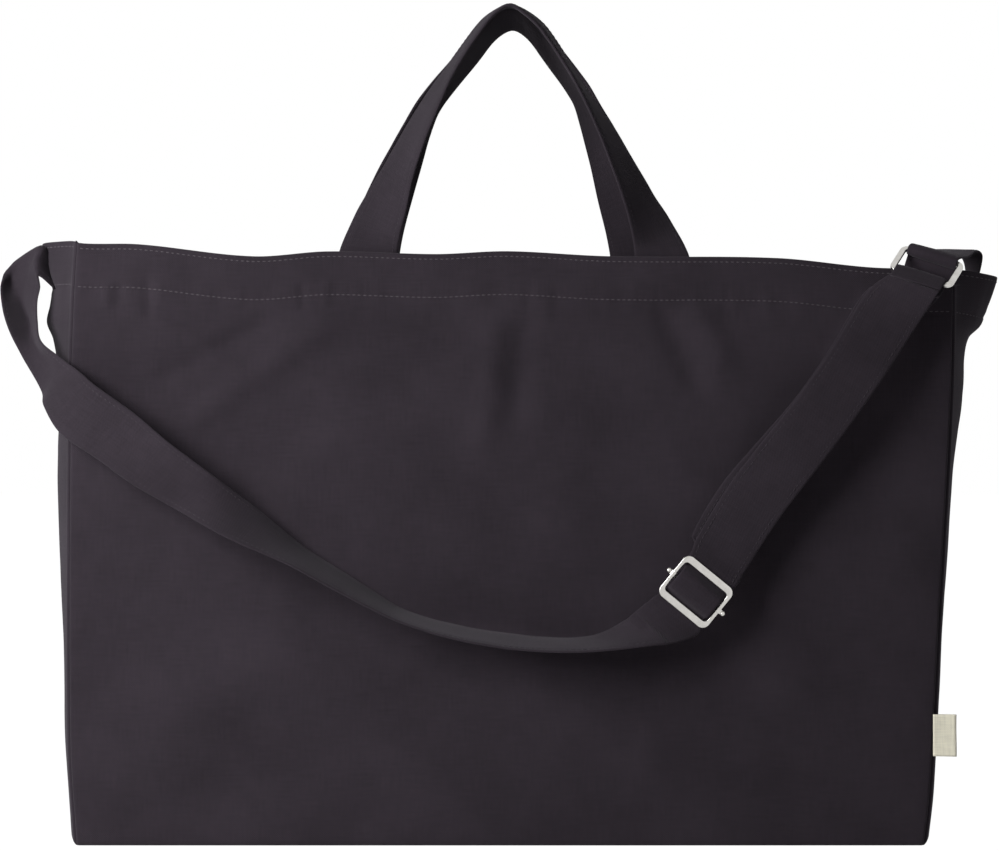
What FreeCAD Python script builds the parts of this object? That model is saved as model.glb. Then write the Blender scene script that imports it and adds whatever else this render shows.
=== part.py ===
"""Canvas tote bag with two short carrying handles and one adjustable shoulder strap.

Millimetres, +Z up, +X to the right of someone facing the bag, -Y to the front.
The origin is the middle of the underside. The bag stands open with its handles gathered
upright and its strap hanging in a bow across the front panel.
"""
import FreeCAD, Part
import math
import os

V = FreeCAD.Vector

# Bag body
BASE_WIDTH = 464.0
MOUTH_WIDTH = 480.0
BASE_DEPTH = 100.0
MOUTH_DEPTH = 80.0
HEIGHT = 327.0
CANVAS = 1.2
HEM_DEPTH = 25.0
SEAM_GAP = 0.3
TAIL_GAP = 0.8
BELLY_FLARE = 13.0
MOUTH_FLARE = 24.0
BELLY_LOW = 0.26 * HEIGHT
BELLY_HIGH = 0.72 * HEIGHT

# Carrying handles: flat tubes of canvas sewn inside the hem
BAND_WIDTH = 32.0
BAND_THICKNESS = 2.4
HANDLE_SPACING = 160.0
HANDLE_RISE = 137.0

# Shoulder strap and its metal fittings
STRAP_WIDTH = 32.0
STRAP_THICKNESS = 1.6
LAYER_GAP = 0.4
SLIDER_ACROSS = 33.5
SLIDER_ALONG = 27.5
SLIDER_BAR_WIDTH = 4.1
SLIDER_RAIL_WIDTH = 2.3
SLIDER_THICKNESS = 2.0
SLIDER_CORNER = 4.4
PIN_RADIUS = 1.1
PIN_SET_BACK = 0.8
EYE_RADIUS = 2.3
EYE_LENGTH = 2.6
BALL_RADIUS = 1.5
RING_ACROSS = 36.5
RING_ALONG = 21.0
RING_BAR_WIDTH = 2.4
RING_RAIL_WIDTH = 3.2
RING_THICKNESS = 2.2
RING_CORNER = 4.2
METAL_EDGE = 0.6
LOOP_CLEARANCE = 0.3
EDGE_CLEARANCE = 0.6

# Woven side label
LABEL_WIDTH = 12.0
LABEL_HEIGHT = 23.0
LABEL_THICKNESS = 0.8
LABEL_BOTTOM = 50.0
LABEL_CATCH = 1.5

# Places of the fittings, which the bow of the strap decides
SPAN = MOUTH_WIDTH / 2 + MOUTH_FLARE
SLIDER_CENTRE = V(0.3886 * SPAN, -BASE_DEPTH / 2 - 20.0, HEIGHT - 185.0)
SLIDER_UP_RUN = V(0.633, 0.0, 0.775)
RING_BAR_CENTRE = V(SPAN - 29.0, -MOUTH_DEPTH / 2 - 10.0, HEIGHT - 2.0)
RING_BAR_WAY = V(0.865, -0.385, -0.32)
RING_DOWN = V(-0.49, -0.57, -0.654)

NODES = {}


def unit(vector):
    """The vector at length 1."""
    return V(vector).normalize()


def half_width(z):
    """Half the bag's width at the side seams, at height z."""
    return (BASE_WIDTH + (MOUTH_WIDTH - BASE_WIDTH) * z / HEIGHT) / 2


def half_depth(z):
    """Half the bag's depth over the front and back panels, at height z."""
    return (BASE_DEPTH + (MOUTH_DEPTH - BASE_DEPTH) * z / HEIGHT) / 2


def flare(z):
    """How far a gusset's middle crease stands outside its seams, at height z."""
    if z < BELLY_LOW:
        return BELLY_FLARE * z / BELLY_LOW
    if z < BELLY_HIGH:
        return BELLY_FLARE
    return BELLY_FLARE + (MOUTH_FLARE - BELLY_FLARE) * (z - BELLY_HIGH) / (HEIGHT - BELLY_HIGH)


def seam_y(z):
    """How far a gusset reaches from the middle plane, at height z."""
    return half_depth(z) - 2 * CANVAS - SEAM_GAP


def flat(corners):
    """True when all the corners lie in one plane."""
    a, b, c = corners[:3]
    normal = (b - a).cross(c - a)
    if normal.Length < 1e-9:
        return False
    normal.normalize()
    return all(abs((p - a).dot(normal)) < 1e-7 for p in corners)


def faces_of(corners):
    """A polygon as one flat face, or as triangles when a quad is warped."""
    if len(corners) == 4 and not flat(corners):
        a, b, c, d = corners
        return faces_of([a, b, c]) + faces_of([a, c, d])
    return [Part.Face(Part.makePolygon(list(corners) + [corners[0]]))]


def skin(rings):
    """A closed solid through rings of as many corners each, with flat ends.

    Warped sides of a thin sheet are split along the same diagonal on both of its faces.
    """
    faces = faces_of(rings[0]) + faces_of(rings[-1])
    for near, far in zip(rings, rings[1:]):
        for i, corner in enumerate(near):
            j = (i + 1) % len(near)
            if i < len(near) / 2:
                faces += faces_of([corner, near[j], far[j], far[i]])
            else:
                faces += faces_of([near[j], far[j], far[i], corner])
    shell = Part.Shell(faces)
    shell.sewShape()
    solid = Part.Solid(shell)
    if solid.Volume < 0:
        solid.reverse()
    return solid


def band(stations, width, thickness):
    """A ribbon through stations, each a centre, the way across it, and a share of its width."""
    centres = [station[0] for station in stations]
    rings = []
    for i, (centre, across, share) in enumerate(stations):
        before = centres[max(i - 1, 0)]
        after = centres[min(i + 1, len(centres) - 1)]
        normal = (after - before).cross(across).normalize()
        side = unit(across) * (width * share / 2)
        up = normal * (thickness / 2)
        rings.append([centre - side - up, centre + side - up, centre + side + up, centre - side + up])
    return skin(rings)


def save(name, *solids):
    """Keep a node's solids, to be written at the end."""
    NODES[name] = list(solids)


# ---------------------------------------------------------------- bag body


def panel(side):
    """The front (side -1) or back (side 1) panel, with its hem folded down inside."""
    bottom = CANVAS + SEAM_GAP

    def ring(edge):
        def corner(z, depth, inset):
            return V(edge * (half_width(z) - inset), side * (half_depth(z) - depth), z)

        sheet = [
            corner(bottom, 0, 0),
            corner(HEIGHT, 0, 0),
            corner(HEIGHT, CANVAS, 0),
            corner(bottom, CANVAS, 0),
        ]
        inset = 2 * CANVAS + SEAM_GAP
        fold = HEIGHT - HEM_DEPTH
        hem = [
            corner(fold, CANVAS, inset),
            corner(HEIGHT, CANVAS, inset),
            corner(HEIGHT, 2 * CANVAS, inset),
            corner(fold, 2 * CANVAS, inset),
        ]
        return sheet, hem

    left, right = ring(-1), ring(1)
    return skin([left[0], right[0]]).fuse(skin([left[1], right[1]])).removeSplitter()


def gusset_x(side, y, z, inward):
    """Where a gusset's outer face is, less a distance inward."""
    crease = flare(z) * (1 - abs(y) / seam_y(z))
    return side * (half_width(z) + crease - inward)


def gusset(side):
    """The left (side -1) or right (side 1) gusset: creased outward, hemmed inside."""
    bottom = CANVAS + SEAM_GAP
    fold = HEIGHT - HEM_DEPTH
    outline = [
        (bottom, 0),
        (BELLY_LOW, 0),
        (BELLY_HIGH, 0),
        (HEIGHT, 0),
        (HEIGHT, 2 * CANVAS),
        (fold, 2 * CANVAS),
        (fold, CANVAS),
        (BELLY_HIGH, CANVAS),
        (BELLY_LOW, CANVAS),
        (bottom, CANVAS),
    ]
    rings = []
    for edge in (-1, -0.75, -0.5, -0.25, 0, 0.25, 0.5, 0.75, 1):
        rings.append([V(gusset_x(side, edge * seam_y(z), z, d), edge * seam_y(z), z) for z, d in outline])
    return skin(rings)


def gusset_tail(side, width):
    """A sewn-in end of the strap or of the ring's tab, flat against a gusset's hem."""
    rings = []
    for y in (-width / 2, 0, width / 2):
        near = 2 * CANVAS + TAIL_GAP
        far = near + BAND_THICKNESS
        levels = [(HEIGHT - HEM_DEPTH, near), (HEIGHT, near), (HEIGHT, far), (HEIGHT - HEM_DEPTH, far)]
        rings.append([V(gusset_x(side, y, z, d), y, z) for z, d in levels])
    return skin(rings)


def build_body():
    """Panels, gussets and base: five pieces of canvas seamed along their edges."""
    save("front_panel", panel(-1))
    save("back_panel", panel(1))
    save("left_gusset", gusset(-1))
    save("right_gusset", gusset(1))
    base = Part.makeBox(BASE_WIDTH, BASE_DEPTH, CANVAS, V(-BASE_WIDTH / 2, -BASE_DEPTH / 2, 0))
    save("base_panel", base)


def build_label():
    """The folded label standing out of the right front seam."""
    x = half_width(LABEL_BOTTOM) - LABEL_CATCH
    y = -half_depth(LABEL_BOTTOM) - LABEL_THICKNESS - SEAM_GAP
    tag = Part.makeBox(LABEL_WIDTH, LABEL_THICKNESS, LABEL_HEIGHT, V(x, y, LABEL_BOTTOM))
    save("side_label", tag)


# ---------------------------------------------------------------- carrying handles


def handle_y():
    """How far a handle's sewn ends stand from the middle plane."""
    return half_depth(HEIGHT) - 2 * CANVAS - SEAM_GAP - BAND_THICKNESS / 2


def handle(side):
    """One carrying handle: two legs that turn edge-on as they rise and meet at a bent top."""
    foot_x = HANDLE_SPACING / 2
    foot_y = handle_y()
    top_y = BAND_WIDTH / 2 + SEAM_GAP
    # each step: share of the way in, share of the rise, degrees that the band has turned edge-on
    climb = [(0, 0, 0), (0.07, 0.1, 12), (0.18, 0.23, 36), (0.29, 0.42, 56), (0.45, 0.6, 72)]
    climb += [(0.66, 0.77, 82), (0.84, 0.91, 88), (0.94, 0.985, 90), (1, 1, 90)]
    left, right = [], []
    for inward, up, turned in climb:
        x = foot_x * (1 - inward)
        y = side * (foot_y + (top_y - foot_y) * up)
        z = HEIGHT + SEAM_GAP + HANDLE_RISE * up
        lean = math.radians(30 * min(1, 4 * up) + 15 * up)
        turn = math.radians(turned)
        sideways, down = math.cos(lean) * math.cos(turn), -math.sin(lean) * math.cos(turn)
        left.append((V(-x, y, z), V(sideways, side * math.sin(turn), down), 1))
        right.append((V(x, y, z), V(-sideways, side * math.sin(turn), down), 1))
    return band(left + right[-2::-1], BAND_WIDTH, BAND_THICKNESS)


def handle_ends(side):
    """The two ends of one handle, sewn flat inside the hem."""
    ends = []
    for x in (-HANDLE_SPACING / 2, HANDLE_SPACING / 2):
        rings = []
        for edge in (-BAND_WIDTH / 2, BAND_WIDTH / 2):
            near = 2 * CANVAS + SEAM_GAP
            far = near + BAND_THICKNESS
            levels = [(HEIGHT - HEM_DEPTH, near), (HEIGHT, near), (HEIGHT, far), (HEIGHT - HEM_DEPTH, far)]
            rings.append([V(x + edge, side * (half_depth(z) - d), z) for z, d in levels])
        ends.append(skin(rings))
    return ends


def build_handles():
    """Both handles, each with its own sewn ends."""
    save("front_handle", handle(-1))
    save("front_handle_ends", *handle_ends(-1))
    save("back_handle", handle(1))
    save("back_handle_ends", *handle_ends(1))


# ---------------------------------------------------------------- shoulder strap


def plate(width, height, radius, thickness):
    """A slab with rounded corners, centred on the origin."""
    x, y = width / 2 - radius, height / 2 - radius
    slab = Part.makeBox(width, 2 * y, thickness, V(-width / 2, -y, -thickness / 2))
    slab = slab.fuse(Part.makeBox(2 * x, height, thickness, V(-x, -height / 2, -thickness / 2)))
    for sx in (-x, x):
        for sy in (-y, y):
            slab = slab.fuse(Part.makeCylinder(radius, thickness, V(sx, sy, -thickness / 2)))
    return slab.removeSplitter()


def link(across, along, bar, rail, thickness, corner):
    """A flat metal link with rounded edges: bars along X, rails along Y, centred on the origin."""
    window = plate(across - 2 * rail, along - 2 * bar, corner - min(bar, rail), 2 * thickness)
    frame = plate(across, along, corner, thickness).cut(window).removeSplitter()
    rims = [edge for edge in frame.Edges if edge.BoundBox.ZLength < 1e-6]
    return frame.makeFillet(METAL_EDGE, rims)


def placed(shape, centre, x_way, y_way):
    """A copy of the shape with its own X and Y turned to the two ways given, at the centre."""
    x = unit(x_way)
    z = x.cross(y_way).normalize()
    y = z.cross(x)
    copy = shape.copy()
    rows = (x.x, y.x, z.x, centre.x, x.y, y.y, z.y, centre.y, x.z, y.z, z.z, centre.z, 0, 0, 0, 1)
    copy.Placement = FreeCAD.Placement(FreeCAD.Matrix(*rows))
    return copy


SLIDER_UP = unit(SLIDER_UP_RUN)
SLIDER_RIGHT = V(SLIDER_UP.z, 0, -SLIDER_UP.x)
BACKWARD = V(0, 1, 0)
SLIDER_BAR = (SLIDER_ALONG - SLIDER_BAR_WIDTH) / 2
PIN_CENTRE = SLIDER_CENTRE + BACKWARD * PIN_SET_BACK
PIN_LOOP = PIN_RADIUS + LOOP_CLEARANCE + STRAP_THICKNESS / 2
BEHIND_SLIDER = SLIDER_THICKNESS / 2 + LAYER_GAP + STRAP_THICKNESS / 2
BEHIND_RUN = BEHIND_SLIDER + STRAP_THICKNESS + LAYER_GAP

RING_WAY = unit(RING_BAR_WAY)
RING_BACK = RING_WAY.cross(RING_DOWN).normalize()
RING_FALL = RING_BACK.cross(RING_WAY)
RING_BAR_STEP = RING_ALONG - RING_BAR_WIDTH
RING_CENTRE = RING_BAR_CENTRE + RING_FALL * (RING_BAR_STEP / 2)
STRAP_BAR_CENTRE = RING_BAR_CENTRE + RING_FALL * RING_BAR_STEP
RING_LOOP = math.hypot(RING_BAR_WIDTH, RING_THICKNESS) / 2 + LOOP_CLEARANCE + STRAP_THICKNESS / 2
RING_SHARE = (RING_ACROSS - 2 * RING_RAIL_WIDTH - 2 * EDGE_CLEARANCE) / STRAP_WIDTH
SLIDER_SHARE = (SLIDER_ACROSS - 2 * SLIDER_RAIL_WIDTH - 4 * EDGE_CLEARANCE) / STRAP_WIDTH


def round_bar(centre, first, second, radius, turn, steps, across, share):
    """Stations round a bar: turning so many degrees from the first way towards the second."""
    stations = []
    for i in range(steps + 1):
        angle = math.radians(turn * i / steps)
        point = centre + first * (radius * math.cos(angle)) + second * (radius * math.sin(angle))
        stations.append((point, across, share))
    return stations


def beside_slider(along, behind, share):
    """A station of the strap near the slider: so far up the run, so far behind the slider."""
    return (SLIDER_CENTRE + SLIDER_UP * along + BACKWARD * behind, SLIDER_RIGHT * -1, share)


def at_corner(out, forward, drop):
    """A point of the strap by the left gusset's crease: out from it, in front of it, below its top."""
    return V(-SPAN - out, -forward, HEIGHT - drop)


def hung(share, stand_off, drop):
    """A point of the strap across the front: its share of the half span, stand-off and drop."""
    return V(share * SPAN, -BASE_DEPTH / 2 - stand_off, HEIGHT - drop)


def bow():
    """The strap from the left corner, round the bow across the front, to just below the slider."""
    route = [
        (at_corner(5.5, -1, 0.5), V(-2, -26, 17)),
        (at_corner(9, 6, 11), V(-7, -28, 18)),
        (at_corner(14.5, 16, 26), V(-8, -20, 24)),
        (at_corner(11.5, 28, 42), V(4, -18, 26)),
        (at_corner(3, 39, 56), V(9, -15, 24)),
        (hung(-0.966, 1, 70), V(12, -9, 25)),
        (hung(-0.913, 9, 82), V(16, -4, 27)),
        (hung(-0.841, 13, 96), V(18, 0, 26)),
        (hung(-0.735, 15, 115), V(19, 3, 25)),
        (hung(-0.636, 16, 132), V(15, 19, 20)),
        (hung(-0.549, 17, 147), V(11, 26, 15)),
        (hung(-0.451, 18, 163), V(7, 30, 10)),
        (hung(-0.333, 18, 181), V(3, 31, 6)),
        (hung(-0.201, 18, 199), V(2, 31, 4)),
        (hung(-0.064, 18, 209.5), V(0, 31, 4)),
        (hung(0.08, 18, 214), V(0, 31, 4)),
        (hung(0.186, 18, 213), V(-2, 30, 6)),
        (hung(0.265, 18, 207), V(-9, 27, 13)),
    ]
    end = SLIDER_BAR + 6
    return [(centre, across, 1) for centre, across in route] + [beside_slider(-end, BEHIND_SLIDER, 1)]


def between(first, last, steps):
    """Evenly spaced stations from the first to the last, both left out, at the strap's full width."""
    stations = []
    for i in range(1, steps):
        share = i / steps
        centre = first[0] + (last[0] - first[0]) * share
        across = unit(first[1]) + (unit(last[1]) - unit(first[1])) * share
        stations.append((centre, across, 1))
    return stations


def adjusting_run():
    """The strap through the slider, up to the ring, round its lower bar and back down behind."""
    in_front = PIN_LOOP + STRAP_THICKNESS + LAYER_GAP - PIN_SET_BACK
    inside = SLIDER_BAR - SLIDER_BAR_WIDTH / 2 - 0.8
    end = SLIDER_BAR + 5.7
    through = [
        beside_slider(-end, BEHIND_SLIDER, 1),
        beside_slider(-inside, BEHIND_SLIDER, SLIDER_SHARE),
        beside_slider(-4, -0.8 * in_front, SLIDER_SHARE),
        beside_slider(0, -in_front, SLIDER_SHARE),
        beside_slider(4, -0.8 * in_front, SLIDER_SHARE),
        beside_slider(inside, BEHIND_SLIDER, SLIDER_SHARE),
        beside_slider(end, BEHIND_SLIDER, 1),
    ]
    forward, across = RING_BACK * -1, RING_WAY * -1
    wrap = round_bar(STRAP_BAR_CENTRE, forward, RING_FALL * -1, RING_LOOP, 180, 6, across, RING_SHARE)
    before = (wrap[0][0] + RING_FALL * 5, across, RING_SHARE)
    after = (wrap[-1][0] + RING_FALL * 5, across, RING_SHARE)
    last = beside_slider(end + 6, BEHIND_RUN + 0.4, 1)
    up = between(through[-1], before, 5)
    down = between(after, last, 5)
    return through + up + [before] + wrap + [after] + down + [last]


def end_loop():
    """The strap's end: down behind the run and sewn round the slider's pin."""
    tail = [
        beside_slider(SLIDER_BAR + 11.4, BEHIND_RUN + 0.4, 1),
        beside_slider(SLIDER_BAR + 4, BEHIND_RUN, SLIDER_SHARE),
        beside_slider(6.5, BEHIND_RUN, SLIDER_SHARE),
    ]
    loop = round_bar(PIN_CENTRE, BACKWARD, SLIDER_UP * -1, PIN_LOOP, 280, 12, SLIDER_RIGHT * -1, SLIDER_SHARE)
    return tail + loop


def slider_pin():
    """The slider's loose bar: an eye round each side rail, a pin between them and a ball outside each."""
    rail_x = (SLIDER_ACROSS - SLIDER_RAIL_WIDTH) / 2
    bore = math.hypot(SLIDER_RAIL_WIDTH, SLIDER_THICKNESS) / 2
    half = rail_x - bore - SEAM_GAP
    pin = Part.makeCylinder(PIN_RADIUS, 2 * half, V(-half, 0, -PIN_SET_BACK), V(1, 0, 0))
    for x in (-rail_x, rail_x):
        corner = V(x, -EYE_LENGTH / 2, 0)
        ball_x = x + math.copysign(EYE_RADIUS + BALL_RADIUS * 0.45, x)
        eye = Part.makeCylinder(EYE_RADIUS, EYE_LENGTH, corner, V(0, 1, 0))
        eye = eye.fuse(Part.makeSphere(BALL_RADIUS, V(ball_x, 0, 0)))
        pin = pin.fuse(eye).cut(Part.makeCylinder(bore, EYE_LENGTH, corner, V(0, 1, 0)))
    return pin.removeSplitter()


def strap_root():
    """The bend of the strap over the left gusset's top edge."""
    inside = -(half_width(HEIGHT) + MOUTH_FLARE - 2 * CANVAS - TAIL_GAP - BAND_THICKNESS / 2)
    route = [
        (V(inside, 0, HEIGHT + 0.3), V(0, -1, 0)),
        (V(inside, 0, HEIGHT + 4), V(0, -1, 0)),
        (V(inside - 5.5, 0, HEIGHT + 6), V(0, -1, 0.1)),
        (at_corner(5.3, -0.6, -2), V(-1, -26, 14)),
    ]
    return [(centre, across, 1) for centre, across in route]


def ring_tab():
    """The tab from the right gusset's hem, over its top edge and round the ring's upper bar."""
    inside = half_width(HEIGHT) + MOUTH_FLARE - 2 * CANVAS - TAIL_GAP - BAND_THICKNESS / 2
    roll = round_bar(RING_BAR_CENTRE, RING_BACK * -1, RING_FALL, RING_LOOP, 180, 6, RING_WAY, RING_SHARE)
    over = roll[0][0] - RING_FALL * 8
    under = roll[-1][0] - RING_FALL * 8
    outer = [
        (V(inside, 0, HEIGHT + 0.3), V(0, -1, 0), 1),
        (V(inside - 1, -2, HEIGHT + 7), V(0.1, -1, 0), 1),
        (V(inside - 7, -13, HEIGHT + 11), V(0.45, -0.88, -0.1), 1),
        (over, RING_WAY, RING_SHARE),
    ]
    return outer + roll + [(under, RING_WAY, RING_SHARE)]


def build_strap():
    """The shoulder strap, its two sewn ends, and the ring and slider that it runs through."""
    save("strap_anchor", gusset_tail(-1, STRAP_WIDTH))
    save("strap_root", band(strap_root(), STRAP_WIDTH, STRAP_THICKNESS))
    save("shoulder_strap", band(bow(), STRAP_WIDTH, STRAP_THICKNESS))
    save("strap_adjusting_run", band(adjusting_run(), STRAP_WIDTH, STRAP_THICKNESS))
    save("strap_end_loop", band(end_loop(), STRAP_WIDTH, STRAP_THICKNESS))
    save("tab_anchor", gusset_tail(1, STRAP_WIDTH))
    save("ring_tab", band(ring_tab(), STRAP_WIDTH, STRAP_THICKNESS))
    ring = link(RING_ACROSS, RING_ALONG, RING_BAR_WIDTH, RING_RAIL_WIDTH, RING_THICKNESS, RING_CORNER)
    save("strap_ring", placed(ring, RING_CENTRE, RING_WAY, RING_FALL * -1))
    sizes = SLIDER_BAR_WIDTH, SLIDER_RAIL_WIDTH, SLIDER_THICKNESS, SLIDER_CORNER
    frame = link(SLIDER_ACROSS, SLIDER_ALONG, *sizes)
    save("slider_frame", placed(frame, SLIDER_CENTRE, SLIDER_RIGHT, SLIDER_UP))
    save("slider_pin", placed(slider_pin(), SLIDER_CENTRE, SLIDER_RIGHT, SLIDER_UP))


def write_parts():
    """One STEP file for each node."""
    os.makedirs("parts", exist_ok=True)
    for name, solids in NODES.items():
        for solid in solids:
            if not solid.isValid() or solid.Volume <= 0:
                raise ValueError(name + " is not a valid solid")
        shape = solids[0] if len(solids) == 1 else Part.makeCompound(solids)
        shape.exportStep("parts/" + name + ".step")
        print(name, round(sum(solid.Volume for solid in solids)))


build_body()
build_label()
build_handles()
build_strap()
write_parts()
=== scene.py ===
"""A canvas tote bag: gusseted body, two short carrying handles, and a shoulder strap
on a metal slider and ring. Metres, +Z up, the front towards -Y."""

import bisect
import math
import bmesh
import bpy
from mathutils import Matrix, Vector, noise


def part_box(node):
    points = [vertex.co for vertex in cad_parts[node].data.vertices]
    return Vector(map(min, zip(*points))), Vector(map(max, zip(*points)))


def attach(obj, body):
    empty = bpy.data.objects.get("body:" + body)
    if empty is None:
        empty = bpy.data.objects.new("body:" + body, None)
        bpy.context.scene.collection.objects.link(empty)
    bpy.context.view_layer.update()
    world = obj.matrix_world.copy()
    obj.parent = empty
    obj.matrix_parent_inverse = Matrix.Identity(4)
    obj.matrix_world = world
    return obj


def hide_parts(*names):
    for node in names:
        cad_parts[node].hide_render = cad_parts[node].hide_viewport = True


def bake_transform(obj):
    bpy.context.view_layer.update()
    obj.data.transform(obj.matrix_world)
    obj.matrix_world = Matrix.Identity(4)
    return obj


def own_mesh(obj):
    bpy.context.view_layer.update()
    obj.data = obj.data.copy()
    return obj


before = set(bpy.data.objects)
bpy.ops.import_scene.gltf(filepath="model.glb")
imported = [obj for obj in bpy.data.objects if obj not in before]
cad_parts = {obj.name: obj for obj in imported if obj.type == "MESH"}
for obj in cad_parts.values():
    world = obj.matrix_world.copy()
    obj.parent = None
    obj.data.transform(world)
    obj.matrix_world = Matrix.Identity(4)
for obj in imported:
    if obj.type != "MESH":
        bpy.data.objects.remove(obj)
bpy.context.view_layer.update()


# ------------------------------------------------------------------ studio
# A pale floor that runs away behind the bag, a white room, one broad soft lamp high on the
# left and a weak one on the right. The camera stands level in front, a little above the middle.

class Link:
    """A socket in a material's nodes. Sums and products with it add the nodes that work them out."""

    def __init__(self, tree, socket=None):
        self.tree = tree
        self.socket = socket

    def node(self, kind, settings, sockets, output=0):
        """Adds one node: its settings first, then the values or links of its sockets."""
        made = self.tree.nodes.new(kind)
        for name, value in settings.items():
            setattr(made, name, value)
        for name, value in sockets.items():
            if isinstance(value, Link):
                self.tree.links.new(value.socket, made.inputs[name])
            else:
                made.inputs[name].default_value = value
        return Link(self.tree, made.outputs[output] if made.outputs else None)

    def math(self, operation, *values):
        return self.node("ShaderNodeMath", {"operation": operation}, dict(enumerate(values)))

    def __add__(self, other):
        return self.math("ADD", self, other)

    def __radd__(self, other):
        return self.math("ADD", other, self)

    def __mul__(self, other):
        return self.math("MULTIPLY", self, other)


def material(name):
    """An empty material and the start of its nodes."""
    made = bpy.data.materials.new(name)
    made.use_nodes = True
    made.node_tree.nodes.clear()
    return made, Link(made.node_tree)


def placed(name, mesh, finish):
    """A new object in the scene, from its mesh and its material."""
    mesh.materials.append(finish)
    made = bpy.data.objects.new(name, mesh)
    bpy.context.scene.collection.objects.link(made)
    return made


def seen_past(link):
    """1 where a ray comes from the camera or bounced off metal, and 0 for the room's own light."""
    rays = link.node("ShaderNodeLightPath", {}, {})
    past = rays
    for name in ("Is Glossy Ray", "Is Transmission Ray"):
        past = past + Link(link.tree, rays.socket.node.outputs[name])
    return past.math("MINIMUM", past, 1.0)


room = bpy.data.worlds.new("white_room")
bpy.context.scene.world = room
room.use_nodes = True
room.node_tree.nodes.clear()
sky = Link(room.node_tree)
soft = sky.node("ShaderNodeBackground", {}, {"Color": (1, 1, 1, 1), "Strength": 0.09})
white = sky.node("ShaderNodeBackground", {}, {"Color": (1, 1, 1, 1), "Strength": 1.0})
both = sky.node("ShaderNodeMixShader", {}, {0: seen_past(sky), 1: soft, 2: white})
sky.node("ShaderNodeOutputWorld", {}, {"Surface": both})

pale, link = material("pale_floor")
matt = link.node("ShaderNodeBsdfDiffuse", {}, {"Color": (0.86, 0.86, 0.86, 1)})
glow = link.node("ShaderNodeEmission", {}, {"Color": (1, 1, 1, 1), "Strength": 1.09})
floor_mix = link.node("ShaderNodeMixShader", {}, {0: seen_past(link) * 0.93, 1: matt, 2: glow})
link.node("ShaderNodeOutputMaterial", {}, {"Surface": floor_mix})
FLOOR_HALF = 6.0
FLOOR_LEVEL = -0.0006
shape = bmesh.new()
bmesh.ops.create_grid(shape, x_segments=2, y_segments=2, size=FLOOR_HALF)
bmesh.ops.translate(shape, verts=shape.verts, vec=(0, 0, FLOOR_LEVEL))
mesh = bpy.data.meshes.new("floor")
shape.to_mesh(mesh)
shape.free()
floor = placed("floor", mesh, pale)

LAMP_AIM = Vector((0, 0, 0.2))
for name, place, size, power in (
    ("key_lamp", (-0.65, -0.62, 0.52), 0.5, 9.8),
    ("fill_lamp", (1.2, -2.2, 0.7), 1.6, 2.0),
):
    lamp = bpy.data.lights.new(name, "AREA")
    lamp.size = size
    lamp.energy = power
    stand = bpy.data.objects.new(name, lamp)
    stand.location = place
    stand.visible_camera = False
    stand.rotation_euler = (LAMP_AIM - Vector(place)).to_track_quat("-Z", "Y").to_euler()
    bpy.context.scene.collection.objects.link(stand)

camera = bpy.data.objects.new("camera", bpy.data.cameras.new("camera"))
camera.data.lens = 78.6
camera.data.sensor_width = 36
camera.location = (-0.0036, -1.25, 0.232)
camera.rotation_euler = (math.radians(90), 0, 0)
bpy.context.scene.collection.objects.link(camera)
bpy.context.scene.camera = camera
bpy.context.scene.view_settings.view_transform = "Standard"


# ------------------------------------------------------------------ canvas
# All the cloth is one charcoal cotton canvas in plain weave, about 17 threads to the
# centimetre, a little uneven from thread to thread. The weave follows each piece's own cloth.

THREAD_PITCH = 0.0006
ALONG_YARN, ACROSS_YARN = 70.0, 1100.0


def canvas(name, colour, relief):
    """Plain-weave cotton whose UV map is the flat cloth in metres."""
    made, link = material(name)
    cloth = link.node("ShaderNodeUVMap", {}, {})
    across = link.node("ShaderNodeSeparateXYZ", {}, {0: cloth})
    along = Link(link.tree, across.socket.node.outputs[1])
    turn = math.pi / THREAD_PITCH
    threads = link.math("SINE", across * turn) * link.math("SINE", along * turn)
    yarns = 0.0
    for stretch in ((ACROSS_YARN, ALONG_YARN, 1.0), (ALONG_YARN, ACROSS_YARN, 1.0)):
        yarn = link.node("ShaderNodeMapping", {}, {"Vector": cloth, "Scale": stretch})
        yarns = yarns + link.node("ShaderNodeTexNoise", {}, {"Vector": yarn, "Scale": 1.0, "Detail": 2.0})
    cloudy = link.node("ShaderNodeTexNoise", {}, {"Vector": cloth, "Scale": 16.0, "Detail": 4.0})
    light = yarns * 0.34 + cloudy * 0.9 + threads * 0.05 + 0.21
    tint = link.node(
        "ShaderNodeMix",
        {"data_type": "RGBA", "blend_type": "MULTIPLY"},
        {0: 1.0, 6: (*colour, 1), 7: light},
        2,
    )
    height = threads * 0.4 + yarns * 0.6
    bump = link.node("ShaderNodeBump", {}, {"Height": height, "Strength": relief, "Distance": 0.00025})
    cotton = link.node(
        "ShaderNodeBsdfPrincipled",
        {},
        {
            "Base Color": tint,
            "Normal": bump,
            "Roughness": 0.92,
            "Specular IOR Level": 0.05,
            "Sheen Weight": 0.12,
            "Sheen Roughness": 0.5,
            "Sheen Tint": (0.75, 0.72, 0.78, 1),
        },
    )
    link.node("ShaderNodeOutputMaterial", {}, {"Surface": cotton})
    return made


charcoal = canvas("charcoal_canvas", (0.0298, 0.0240, 0.0306), 0.6)
thread = canvas("charcoal_thread", (0.085, 0.075, 0.085), 0.2)
band_thread = canvas("band_thread", (0.040, 0.034, 0.041), 0.2)


# ------------------------------------------------------------------ body
# Five pieces of canvas sewn inside out and turned: front and back panels, a gusset at each
# side that stands out along its middle crease, and a base. Each seam is a narrow valley
# between two rolled edges. The top is folded in as a hem 25 mm deep.

HEIGHT = 0.327
BASE_HALF_DEPTH = 0.050
DEPTH_LOST = 0.010
MOUTH_DEPTH = 0.08
CLOTH_THICKNESS = 0.0009
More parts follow.
